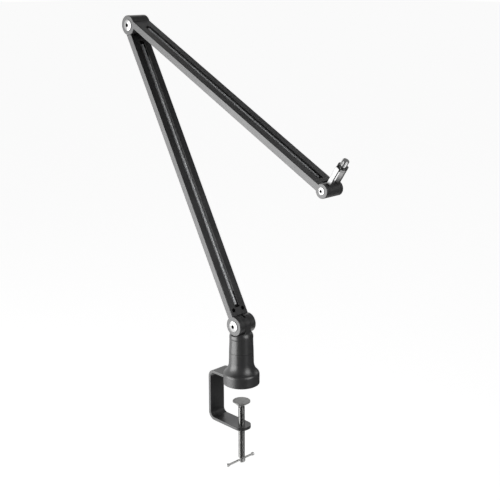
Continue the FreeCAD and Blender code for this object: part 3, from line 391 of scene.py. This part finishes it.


# metals with painted shade become finishes further down, one for each place where the shade is
# painted
metals = {
    "yokeNickel": {
        "colour": (0.28, 0.28, 0.28), "dull": (0.22, 0.22, 0.22), "roughness": (0.32, 0.42),
        "grain": (900.0, 160.0), "smear": 60.0, "dust": 240.0, "bump": 0.03, "peel": 0.00004,
        "paintedShade": (0.15, 0.15, 0.15),
    },
    "studNickel": {
        "colour": (0.58, 0.58, 0.58), "dull": (0.48, 0.48, 0.48), "roughness": (0.34, 0.44),
        "grain": (1400.0, 220.0), "smear": 70.0, "dust": 260.0, "bump": 0.03, "peel": 0.00004,
    },
    "boltNickel": {
        "colour": (0.46, 0.46, 0.46), "dull": (0.38, 0.38, 0.38), "roughness": (0.16, 0.26),
        "grain": (1400.0, 220.0), "smear": 70.0, "dust": 260.0, "bump": 0.03, "peel": 0.00004,
        "paintedShade": (0.04, 0.04, 0.04),
    },
    "darkNickel": {
        "colour": (0.42, 0.42, 0.41), "dull": (0.34, 0.34, 0.33), "roughness": (0.10, 0.18),
        "grain": (1200.0, 240.0), "smear": 70.0, "dust": 300.0, "bump": 0.03, "peel": 0.00004,
        "paintedShade": (0.04, 0.04, 0.04),
    },
    "dullNickel": {
        "colour": (0.80, 0.80, 0.79), "dull": (0.68, 0.68, 0.67), "roughness": (0.40, 0.52),
        "grain": (1800.0, 300.0), "smear": 80.0, "dust": 260.0, "bump": 0.06, "peel": 0.00005,
    },
    "padSteel": {
        "colour": (0.34, 0.34, 0.335), "dull": (0.25, 0.25, 0.245), "roughness": (0.44, 0.56),
        "grain": (1800.0, 120.0), "smear": 110.0, "dust": 160.0, "bump": 0.04, "peel": 0.00005,
    },
    # painted light and painted shade: one spring steel, lighter for the lower spring and darker for
    # the upper spring and the rods
    "springSteelLit": {
        "colour": (0.90, 0.91, 0.92), "dull": (0.76, 0.76, 0.76), "roughness": (0.44, 0.54),
        "grain": (2400.0, 600.0), "smear": 40.0, "dust": 300.0, "bump": 0.05, "peel": 0.00004,
    },
    "springSteelShaded": {
        "colour": (0.29, 0.295, 0.30), "dull": (0.22, 0.22, 0.22), "roughness": (0.30, 0.42),
        "grain": (2400.0, 600.0), "smear": 40.0, "dust": 300.0, "bump": 0.05, "peel": 0.00004,
    },
    "zincPlate": {
        "colour": (0.58, 0.59, 0.59), "dull": (0.47, 0.47, 0.44), "roughness": (0.26, 0.40),
        "grain": (2000.0, 300.0), "smear": 80.0, "dust": 200.0, "bump": 0.06, "peel": 0.00004,
    },
    "blackOxide": {
        "colour": (0.012, 0.012, 0.013), "dull": (0.022, 0.021, 0.020), "roughness": (0.5, 0.62),
        "grain": (2500.0, 500.0), "smear": 120.0, "dust": 400.0, "bump": 0.06, "peel": 0.00004,
    },
    "bushBronze": {
        "colour": (0.46, 0.30, 0.13), "dull": (0.33, 0.21, 0.09), "roughness": (0.30, 0.46),
        "grain": (3500.0, 900.0), "smear": 90.0, "dust": 500.0, "bump": 0.08, "peel": 0.00004,
    },
}
softCoats = {
    "footRubber": dict(
        blackCoat, colour=(0.024, 0.024, 0.024), dusty=(0.05, 0.048, 0.045),
        gloss=0.3, roughness=(0.7, 0.85), bump=0.2, grain=(1500.0, 260.0),
    ),
    "washerNylon": dict(
        blackCoat, colour=(0.62, 0.61, 0.57), dusty=(0.52, 0.50, 0.46), roughness=(0.42, 0.55),
    ),
}
stripCoat = dict(blackCoat, colour=(0.030, 0.030, 0.031), grain=(1300.0, 240.0))
# the upper groove's painted light is dimmer
upperCoat = dict(channelCoat, groove=(0.07, 0.07, 0.07))
upperLift = 0.0065  # the upper bar runs above its pivots
upperMiddle = elbowSpot + upperLift * Vector((-math.sin(upperAngle), 0, math.cos(upperAngle)))
hubs = {
    "shoulderBlack": {"spot": shoulderSpot, "radius": 0.0146},
    "elbowBlack": {"spot": elbowSpot, "radius": 0.0146},
    "endBlack": {"spot": tiltSpot, "radius": 0.010},
}
# radii between which the painted shade of a drive socket or a thread's root goes from dark to
# bright
bolts = {
    "shoulderChrome": {"spot": shoulderSpot, "socket": (0.0029, 0.0033)},
    "elbowChrome": {"spot": elbowSpot, "socket": (0.0029, 0.0033)},
    "tiltChrome": {"spot": tiltSpot, "socket": (0.0021, 0.0025)},
}
spindleRoot = (0.00472, 0.00492)

finishes = {}
for name, metal in metals.items():
    if "paintedShade" not in metal:
        finishes[name] = metalFinish(name, metal)
for name, coat in {**softCoats, "bellBlack": blackCoat, "stripBlack": stripCoat}.items():
    finishes[name] = blackFinish(name, coat)
for name, hub in hubs.items():
    finishes[name] = hubFinish(name, hub["spot"], hub["radius"])
for name, bolt in bolts.items():
    finishes[name] = shadedFinish(
        name, metals["boltNickel"], bolt["spot"], pivotAcross, bolt["socket"]
    )
finishes["yokeNickel"] = strapShadeFinish("yokeNickel", metals["yokeNickel"], yokeShade)
finishes["nickelThread"] = shadedFinish(
    "nickelThread", metals["darkNickel"], (0, 0, 0), uprightAcross, spindleRoot
)
finishes["lowerBlack"] = channelFinish("lowerBlack", shoulderSpot, lowerAngle, channelCoat)
finishes["upperBlack"] = channelFinish("upperBlack", upperMiddle, upperAngle, upperCoat)
print("finishes made:", len(finishes))

nodeFinishes = {
    "bellBlack": ("base_bell",),
    "stripBlack": ("clamp_bracket",),
    "shoulderBlack": ("swivel_head", "shoulder_fork"),
    "elbowBlack": ("elbow_tongue", "elbow_fork"),
    "endBlack": ("end_fork", "tilt_drum"),
    "lowerBlack": ("lower_channel",),
    "upperBlack": ("upper_channel",),
    "shoulderChrome": ("shoulder_bolt", "shoulder_nut"),
    "elbowChrome": ("elbow_bolt", "elbow_nut"),
    "tiltChrome": ("tilt_bolt", "tilt_nut"),
    "yokeNickel": ("mic_yoke",),
    "studNickel": ("mic_stud", "stud_nut"),
    "nickelThread": ("clamp_spindle",),
    "padSteel": ("pressure_pad",),
    "dullNickel": ("tommy_bar", "tommy_balls"),
    "springSteelLit": ("lower_spring",),
    "springSteelShaded": (
        "upper_spring", "lower_pull_rod", "upper_pull_rod", "lower_anchor_rod", "upper_anchor_rod",
    ),
    "zincPlate": (
        "base_screws", "swivel_shaft", "swivel_washer", "swivel_nut",
        "shoulder_pin", "elbow_pin", "lower_anchor_pin", "upper_anchor_pin",
    ),
    "blackOxide": ("fork_set_screws", "lower_channel_screws", "upper_channel_screws"),
    "bushBronze": ("swivel_bush_lower", "swivel_bush_upper", "shoulder_bushes", "elbow_bushes"),
    "footRubber": ("foot_pad",),
    "washerNylon": ("shoulder_washers", "elbow_washers", "tilt_washers"),
}
for finish, members in nodeFinishes.items():
    for member in members:
        mesh = nodes[member].data
        mesh.materials.clear()
        mesh.materials.append(finishes[finish])
print("nodes dressed")


# geometry node trees: a wound spring and a threaded bar

def startTree(name, inputs):
    tree = bpy.data.node_groups.new(name, "GeometryNodeTree")
    for label, (kind, value) in inputs.items():
        kind = f"NodeSocket{kind}"
        socket = tree.interface.new_socket(name=label, in_out="INPUT", socket_type=kind)
        if value is not None:
            socket.default_value = value
    tree.interface.new_socket(name="Geometry", in_out="OUTPUT", socket_type="NodeSocketGeometry")
    return tree, tree.nodes.new("NodeGroupInput").outputs, tree.nodes.new("NodeGroupOutput")


def endTree(tree, geometry, finish, end):
    smooth = addNode(tree, "GeometryNodeSetShadeSmooth")
    real = addNode(tree, "GeometryNodeRealizeInstances")
    painted = addNode(tree, "GeometryNodeSetMaterial")
    tree.links.new(geometry, smooth.inputs["Geometry"])
    tree.links.new(smooth.outputs[0], real.inputs[0])
    tree.links.new(real.outputs[0], painted.inputs["Geometry"])
    tree.links.new(finish, painted.inputs["Material"])
    tree.links.new(painted.outputs[0], end.inputs[0])


def makeCoilTree():
    tree, start, end = startTree("springCoil", {
        "Radius": ("Float", 0.0028), "Wire": ("Float", 0.0006), "Length": ("Float", 0.4),
        "Turns": ("Float", 250.0), "Steps": ("Int", 14), "Sides": ("Int", 6),
        "Finish": ("Material", None),
    })
    spiral = addNode(tree, "GeometryNodeCurveSpiral")
    for socket, source in (("Resolution", "Steps"), ("Rotations", "Turns"), ("Height", "Length")):
        tree.links.new(start[source], spiral.inputs[socket])
    tree.links.new(start["Radius"], spiral.inputs["Start Radius"])
    tree.links.new(start["Radius"], spiral.inputs["End Radius"])
    ring = addNode(tree, "GeometryNodeCurvePrimitiveCircle")
    tree.links.new(start["Sides"], ring.inputs["Resolution"])
    tree.links.new(start["Wire"], ring.inputs["Radius"])
    swept = setInputs(addNode(tree, "GeometryNodeCurveToMesh"), Fill_Caps=True)
    tree.links.new(spiral.outputs["Curve"], swept.inputs["Curve"])
    tree.links.new(ring.outputs["Curve"], swept.inputs["Profile Curve"])
    endTree(tree, swept.outputs["Mesh"], start["Finish"], end)
    return tree


wholeTurns = 100.0  # more turns than any thread has, so that the climb stays above zero


def makeThreadTree():
    tree, start, end = startTree("threadedBar", {
        "Radius": ("Float", 0.005), "Length": ("Float", 0.08), "Pitch": ("Float", 0.0015),
        "Depth": ("Float", 0.0007), "Groove": ("Float", 0.4), "Around": ("Int", 32),
        "Along": ("Int", 400), "Finish": ("Material", None),
    })
    bar = addNode(tree, "GeometryNodeMeshCylinder")
    counts = (("Vertices", "Around"), ("Side Segments", "Along"))
    for socket, source in (*counts, ("Radius", "Radius"), ("Depth", "Length")):
        tree.links.new(start[source], bar.inputs[socket])
    place = addNode(tree, "GeometryNodeInputPosition")
    parts = addNode(tree, "ShaderNodeSeparateXYZ")
    tree.links.new(place.outputs[0], parts.inputs[0])
    angle = calc(tree, "ARCTAN2", parts.outputs["Y"], parts.outputs["X"])
    around = calc(tree, "DIVIDE", angle, fullTurn)
    climb = calc(tree, "SUBTRACT", calc(tree, "DIVIDE", parts.outputs["Z"], start["Pitch"]), around)
    saw = calc(tree, "FRACT", calc(tree, "ADD", climb, wholeTurns))
    across = calc(tree, "ABSOLUTE", calc(tree, "SUBTRACT", saw, 0.5))
    groove = calc(tree, "MINIMUM", calc(tree, "DIVIDE", across, start["Groove"]), 1.0)
    sink = calc(tree, "MULTIPLY", calc(tree, "SUBTRACT", 1.0, groove), start["Depth"])
    share = calc(tree, "SUBTRACT", 1.0, calc(tree, "DIVIDE", sink, start["Radius"]))
    shrink = addNode(tree, "ShaderNodeCombineXYZ")
    tree.links.new(calc(tree, "MULTIPLY", parts.outputs["X"], share), shrink.inputs["X"])
    tree.links.new(calc(tree, "MULTIPLY", parts.outputs["Y"], share), shrink.inputs["Y"])
    tree.links.new(parts.outputs["Z"], shrink.inputs["Z"])
    cutBar = addNode(tree, "GeometryNodeSetPosition")
    tree.links.new(bar.outputs["Mesh"], cutBar.inputs["Geometry"])
    tree.links.new(shrink.outputs[0], cutBar.inputs["Position"])
    endTree(tree, cutBar.outputs[0], start["Finish"], end)
    return tree


def growMesh(name, tree, values, place):
    grower = bpy.data.objects.new(name, bpy.data.meshes.new(name))
    bpy.context.scene.collection.objects.link(grower)
    maker = grower.modifiers.new("grow", "NODES")
    maker.node_group = tree
    for socket in tree.interface.items_tree:
        if socket.in_out == "INPUT" and socket.name in values:
            maker[socket.identifier] = values[socket.name]
    shaped = grower.evaluated_get(bpy.context.evaluated_depsgraph_get())
    grown = bpy.data.meshes.new_from_object(shaped)
    grown.transform(place)
    bpy.data.objects.remove(grower)
    grown.materials.clear()
    grown.materials.append(values["Finish"])
    return grown


def alongFrame(spot, angle):
    # z runs along a bar that rises at angle, x stands above it
    ahead = Vector((math.cos(angle), 0, math.sin(angle)))
    above = Vector((-math.sin(angle), 0, math.cos(angle)))
    turn = Matrix((above, ahead.cross(above), ahead)).transposed().to_4x4()
    return Matrix.Translation(spot) @ turn


def addPiece(name, mesh, body, slot, *replaced):
    piece = bpy.data.objects.new(name, mesh)
    bpy.context.scene.collection.objects.link(piece)
    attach(piece, body)
    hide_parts(*replaced)


coilTree = makeCoilTree()
threadTree = makeThreadTree()

springWire = 0.0012
springReach = 0.00365  # outside radius
springLift = 0.0009  # springs lie this much nearer the slot than the middle of the bar
coilSteps, coilSides = 14, 6
springs = {
    "lower": {
        "spot": shoulderSpot, "angle": lowerAngle, "above": -springLift,
        "start": 0.030, "end": 0.449, "turns": 340,
        "body": "lower_arm", "node": "lower_spring", "finish": "springSteelLit",
    },
    "upper": {
        "spot": elbowSpot, "angle": upperAngle, "above": upperLift + springLift,
        "start": 0.028, "end": 0.4145, "turns": 314,
        "body": "upper_arm", "node": "upper_spring", "finish": "springSteelShaded",
    },
}


def windSpring(name, spring):
    place = alongFrame(spring["spot"], spring["angle"])
    place = place @ Matrix.Translation((spring["above"], 0, spring["start"]))
    values = {
        "Radius": springReach - springWire / 2, "Wire": springWire / 2,
        "Length": spring["end"] - spring["start"], "Turns": float(spring["turns"]),
        "Steps": coilSteps, "Sides": coilSides, "Finish": finishes[spring["finish"]],
    }
    coil = growMesh(f"{name}Coil", coilTree, values, place)
    addPiece(f"{name}_coil", coil, spring["body"], "zinc_steel", spring["node"])


for name, spring in springs.items():
    windSpring(name, spring)
print("springs wound")

weldGap = 0.000001
sharpAngle = math.radians(32)
rods = {
    "lower": {
        "node": "lower_pull_rod", "eyeBody": "swivel", "armBody": "lower_arm",
        "spot": shoulderSpot, "angle": lowerAngle,
        "above": 0.0, "eyeEnd": 0.0125, "plugStart": 0.0295,
    },
    "upper": {
        "node": "upper_pull_rod", "eyeBody": "lower_arm", "armBody": "upper_arm",
        "spot": elbowSpot, "angle": upperAngle,
        "above": upperLift, "eyeEnd": -0.0005, "plugStart": 0.0275,
    },
}


def hangRod(name, rod):
    # the CAD rod as a piece of its own: welded, finished and smoothed where it stands
    shape = bmesh.new()
    shape.from_mesh(nodes[rod["node"]].data)
    bmesh.ops.remove_doubles(shape, verts=shape.verts, dist=weldGap)
    mesh = bpy.data.meshes.new(f"{name}Link")
    shape.to_mesh(mesh)
    shape.free()
    mesh.materials.clear()
    mesh.materials.append(finishes["springSteelShaded"])
    mesh.shade_smooth()
    mesh.set_sharp_from_angle(angle=sharpAngle)
    piece = bpy.data.objects.new(f"{name}_link", mesh)
    bpy.context.scene.collection.objects.link(piece)
    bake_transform(piece)
    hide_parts(rod["node"])


for name, rod in rods.items():
    hangRod(name, rod)
print("pull rods hung")


def turnProfile(name, profile, place, finish, steps=48):
    # a lathe: radius and height pairs spun about z, ends closed on the axis
    shape = bmesh.new()
    rings = []
    for radius, height in profile:
        if radius == 0:
            rings.append([shape.verts.new((0, 0, height))])
            continue
        angles = [fullTurn * step / steps for step in range(steps)]
        ring = [(radius * math.cos(angle), radius * math.sin(angle), height) for angle in angles]
        rings.append([shape.verts.new(corner) for corner in ring])
    for low, high in zip(rings, rings[1:]):
        for step in range(steps):
            ahead = (step + 1) % steps
            if len(low) == 1:
                shape.faces.new((low[0], high[ahead], high[step]))
            elif len(high) == 1:
                shape.faces.new((low[step], low[ahead], high[0]))
            else:
                shape.faces.new((low[step], low[ahead], high[ahead], high[step]))
    bmesh.ops.recalc_face_normals(shape, faces=shape.faces)
    mesh = bpy.data.meshes.new(name)
    shape.to_mesh(mesh)
    shape.free()
    mesh.transform(place)
    mesh.materials.append(finish)
    mesh.shade_smooth()
    mesh.set_sharp_from_angle(angle=sharpAngle)
    return mesh


def joinMeshes(name, meshes):
    joined = bmesh.new()
    result = bpy.data.meshes.new(name)
    for mesh in meshes:
        if mesh.materials[0] not in result.materials[:]:
            result.materials.append(mesh.materials[0])
        before = len(joined.faces)
        joined.from_mesh(mesh)
        joined.faces.ensure_lookup_table()
        for face in joined.faces[before:]:
            face.material_index = result.materials[:].index(mesh.materials[0])
    joined.to_mesh(result)
    joined.free()
    return result


clampScrew = {
    "radius": 0.00495, "top": -0.0398, "bottom": -0.1228,
    "pitch": 0.0015, "depth": 0.0005, "groove": 0.2, "around": 36, "rows": 12,
    "tip": 0.0022, "tipTop": -0.0327, "tipRoot": 0.001,
    "bossRadius": 0.0056, "bossBottom": -0.1322, "soft": 0.0022, "softSteps": 6,
    "rimDrop": 0.0006, "rimIn": 0.0008, "overlap": 0.0004,
}


def cutClampScrew(screw):
    low, high, top = screw["bossBottom"], screw["bottom"], screw["top"]
    run = top - high
    middle = Matrix.Translation((0, 0, (top + high) / 2))
    thread = growMesh("clampThread", threadTree, {
        "Radius": screw["radius"], "Length": run, "Pitch": screw["pitch"],
        "Depth": screw["depth"], "Groove": screw["groove"], "Around": screw["around"],
        "Along": round(run / screw["pitch"] * screw["rows"]), "Finish": finishes["nickelThread"],
    }, middle)
    boss, soft = screw["bossRadius"], screw["soft"]
    bossProfile = [(0, low)]
    for step in range(screw["softSteps"] + 1):
        angle = math.pi / 2 * step / screw["softSteps"]
        radius = boss - soft + soft * math.sin(angle)
        bossProfile.append((radius, low + soft - soft * math.cos(angle)))
    bossProfile += [(boss, high - screw["rimDrop"]), (boss - screw["rimIn"], high)]
    bossProfile.append((0, high + screw["overlap"]))
    tip, tipTop, root = screw["tip"], screw["tipTop"], top - screw["tipRoot"]
    tipProfile = [(0, root), (tip, root), (tip, tipTop), (0, tipTop)]
    ends = [
        turnProfile(name, profile, Matrix.Identity(4), finishes["dullNickel"])
        for name, profile in (("clampBoss", bossProfile), ("clampTip", tipProfile))
    ]
    whole = joinMeshes("clampScrew", [thread, *ends])
    addPiece("clamp_screw_cut", whole, "clamp_screw", "bright_chrome", "clamp_spindle")


micStud = {
    "radius": 0.0047625, "foot": 0.0405, "tip": 0.050, "chamfer": 0.0007, "crownLap": 0.0002,
    "pitch": 0.0015875, "depth": 0.0008, "groove": 0.42, "around": 48, "rows": 10,
    "shank": 0.0040, "tail": 0.0325, "tailEdge": 0.0005, "overlap": 0.0004,
}


def cutMicStud(stud):
    place = alongFrame(tiltSpot, yokeAngle)
    radius, foot, tip, lap = stud["radius"], stud["foot"], stud["tip"], stud["crownLap"]
    run = tip - stud["chamfer"] - foot
    thread = growMesh("studThread", threadTree, {
        "Radius": radius, "Length": run, "Pitch": stud["pitch"], "Depth": stud["depth"],
        "Groove": stud["groove"], "Around": stud["around"],
        "Along": round(run / stud["pitch"] * stud["rows"]), "Finish": finishes["studNickel"],
    }, place @ Matrix.Translation((0, 0, foot + run / 2)))
    neck = radius - stud["depth"]
    crown = [
        (0, foot + run - lap), (neck, foot + run - lap), (radius - lap, foot + run),
        (radius - stud["chamfer"], tip), (0, tip),
    ]
    shank, tail, edge = stud["shank"], stud["tail"], stud["tailEdge"]
    stemTop = foot + stud["overlap"]
    stem = [(0, tail), (shank - edge, tail), (shank, tail + edge), (shank, stemTop), (0, stemTop)]
    ends = [
        turnProfile(name, profile, place, finishes["studNickel"])
        for name, profile in (("crown", crown), ("stem", stem))
    ]
    whole = joinMeshes("micStud", [thread, *ends])
    addPiece("mic_stud_cut", whole, "mic_mount", "bright_chrome", "mic_stud")


cutClampScrew(clampScrew)
cutMicStud(micStud)
print("threads cut")


# camera, light and floor

camera = {
    "place": (0.9833, -0.9501, 0.6002), "turn": (73.95, 0.0, 45.445), "lens": 70.9, "sensor": 36.0,
}
lamps = {
    "leftPanel": {
        "place": (-1.15, -2.25, -0.25), "aim": (0, 0, 0.15), "size": (2.6, 2.2), "watts": 69,
    },
    "frontPanel": {
        "place": (2.0, 0.3, 0.95), "aim": (0, 0, 0.2), "size": (1.4, 1.4), "watts": 19,
    },
}
# facing: degrees round the object, and 90 for a card that lies flat
darkCards = {
    "cameraCard": {
        "place": (1.9, -1.83, 0.75), "facing": (-44.0, 0.0), "size": (5.0, 3.4), "shade": 0.125,
    },
    "frontCard": {
        "place": (1.3, -1.25, -0.92), "facing": (-44.0, 90.0), "size": (3.2, 2.4), "shade": 0.05,
    },
    "sideCard": {
        "place": (1.6, 1.2, -0.92), "facing": (44.0, 90.0), "size": (2.2, 2.0), "shade": 0.28,
    },
    "rightCard": {
        "place": (1.95, 1.75, 0.75), "facing": (42.0, 0.0), "size": (3.4, 3.4), "shade": 0.05,
    },
    "backCard": {
        "place": (-0.7, 2.6, -0.15), "facing": (105.0, 0.0), "size": (3.6, 1.5), "shade": 0.10,
    },
    "farCard": {
        "place": (-1.1, 2.2, -0.92), "facing": (118.0, 90.0), "size": (3.8, 2.6), "shade": 0.10,
    },
    "roofCard": {
        "place": (0.3, -0.1, 2.3), "facing": (0.0, 90.0), "size": (5.8, 4.0), "shade": 0.05,
    },
}
blockingCards = ("cameraCard", "rightCard")
floor = {"drop": 0.82, "size": 80.0, "colour": (0.86, 0.86, 0.86), "fill": 0.35, "lift": 0.655}
matt = {"Roughness": 1.0, "Specular_IOR_Level": 0.0}


def setCamera():
    scene = bpy.context.scene
    scene.view_settings.view_transform = "Standard"
    data = bpy.data.cameras.new("photoCamera")
    data.lens = camera["lens"]
    data.sensor_width = camera["sensor"]
    rig = bpy.data.objects.new("photoCamera", data)
    rig.location = camera["place"]
    rig.rotation_euler = [math.radians(angle) for angle in camera["turn"]]
    scene.collection.objects.link(rig)
    scene.camera = rig


def setLamps():
    for name, lamp in lamps.items():
        light = bpy.data.lights.new(name, "AREA")
        light.shape = "RECTANGLE"
        light.size, light.size_y = lamp["size"]
        light.energy = lamp["watts"]
        panel = bpy.data.objects.new(name, light)
        panel.location = lamp["place"]
        toAim = Vector(lamp["aim"]) - panel.location
        panel.rotation_euler = toAim.to_track_quat("-Z", "Y").to_euler()
        bpy.context.scene.collection.objects.link(panel)


def seenDirectly(tree):
    # one where the eye, a mirror or glass looks straight at it
    path = addNode(tree, "ShaderNodeLightPath")
    seen = calc(tree, "MAXIMUM", path.outputs["Is Camera Ray"], path.outputs["Is Glossy Ray"])
    return calc(tree, "MAXIMUM", seen, path.outputs["Is Transmission Ray"])


def setWorld():
    world = bpy.data.worlds.new("whiteRoom")
    bpy.context.scene.world = world
    world.use_nodes = True
    tree = world.node_tree
    shade = tree.nodes["Background"]
    shade.inputs["Color"].default_value = (1, 1, 1, 1)
    strength = remap(tree, seenDirectly(tree), 0, 1, floor["fill"], 1.0)
    tree.links.new(strength, shade.inputs["Strength"])


def addSheet(name, corners, material):
    mesh = bpy.data.meshes.new(name)
    mesh.from_pydata(corners, [], [(0, 1, 2, 3)])
    mesh.materials.append(material)
    sheet = bpy.data.objects.new(name, mesh)
    bpy.context.scene.collection.objects.link(sheet)
    return sheet


def setFloor():
    # lit white paper, lifted where it is looked at, so the shadow stays on it
    material, tree, paper = startMaterial("paleFloor", Base_Color=(*floor["colour"], 1), **matt)
    glow = addNode(tree, "ShaderNodeEmission")
    strength = calc(tree, "MULTIPLY", seenDirectly(tree), floor["lift"])
    tree.links.new(strength, glow.inputs["Strength"])
    both = addNode(tree, "ShaderNodeAddShader")
    tree.links.new(paper.outputs[0], both.inputs[0])
    tree.links.new(glow.outputs[0], both.inputs[1])
    tree.links.new(both.outputs[0], tree.nodes["Material Output"].inputs["Surface"])
    half, level = floor["size"] / 2, cadBox[0][2] - floor["drop"]
    signs = ((-1, -1), (1, -1), (1, 1), (-1, 1))
    addSheet("floor", [(x * half, y * half, level) for x, y in signs], material)


def setCards():
    # dark card on the unlit sides, as round a product table, for metal and paint to mirror
    for name, card in darkCards.items():
        colour = (card["shade"],) * 3 + (1,)
        material, _, _ = startMaterial(name, Base_Color=colour, **matt)
        around, up = (math.radians(angle) for angle in card["facing"])
        across = Vector((-math.sin(around), math.cos(around), 0)) * card["size"][0] / 2
        away = Vector((math.cos(around), math.sin(around), 0))
        rise = (Vector((0, 0, math.cos(up))) - away * math.sin(up)) * card["size"][1] / 2
        low, high = Vector(card["place"]) - rise, Vector(card["place"]) + rise
        sheet = addSheet(name, [low - across, low + across, high + across, high - across], material)
        sheet.visible_camera = sheet.visible_shadow = False
        sheet.visible_diffuse = name in blockingCards  # the others only darken what mirrors them


setCamera()
setLamps()
setWorld()
setFloor()
setCards()
print("stage set")
